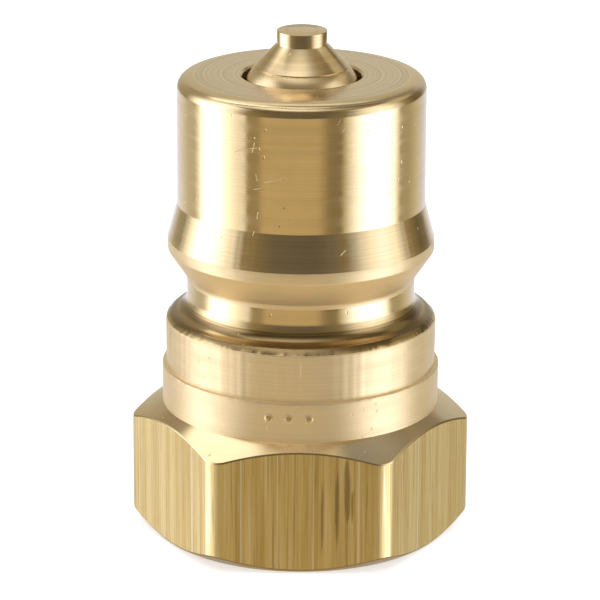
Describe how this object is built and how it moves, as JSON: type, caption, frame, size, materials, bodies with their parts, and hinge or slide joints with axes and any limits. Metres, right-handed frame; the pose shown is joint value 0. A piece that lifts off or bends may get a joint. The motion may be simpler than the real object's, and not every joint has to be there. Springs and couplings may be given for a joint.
{
  "type": "quick coupling nipple",
  "caption": "Brass quick coupling nipple with a hexagonal foot, stepped turned rings, a locking-ball groove, a round plug barrel and a spring-loaded poppet valve.",
  "frame": {"origin": "centre of the hexagon's bottom face, which the nipple stands on", "axes": "+Z along the axis towards the poppet's nose; -Y square to one flat of the hexagon"},
  "size_m": [0.0258, 0.0228, 0.0391],
  "materials": {
    "turned_brass": "bright turned brass with fine turning lines",
    "poppet_brass": "bright turned brass with coarser turning lines",
    "guide_brass": "satin machined brass",
    "nitrile_rubber": "matte black moulded rubber",
    "spring_steel": "drawn stainless wire",
    "ring_steel": "stamped spring steel, lightly oiled"
  },
  "bodies": {
    "nipple": {"nipple_body": "turned_brass", "valve_guide": "guide_brass", "retaining_ring": "ring_steel", "valve_spring": "spring_steel"},
    "valve": {"poppet": "poppet_brass", "poppet_seal": "nitrile_rubber"}
  },
  "joints": [
    {"name": "poppet_slide", "type": "slide", "parent": "nipple", "child": "valve", "axis": [0, 0, -1], "range_m": [0, 0.0048], "stiffness_N_per_m": 2000, "springref_m": -0.005, "deforming": ["valve_spring"]}
  ]
}
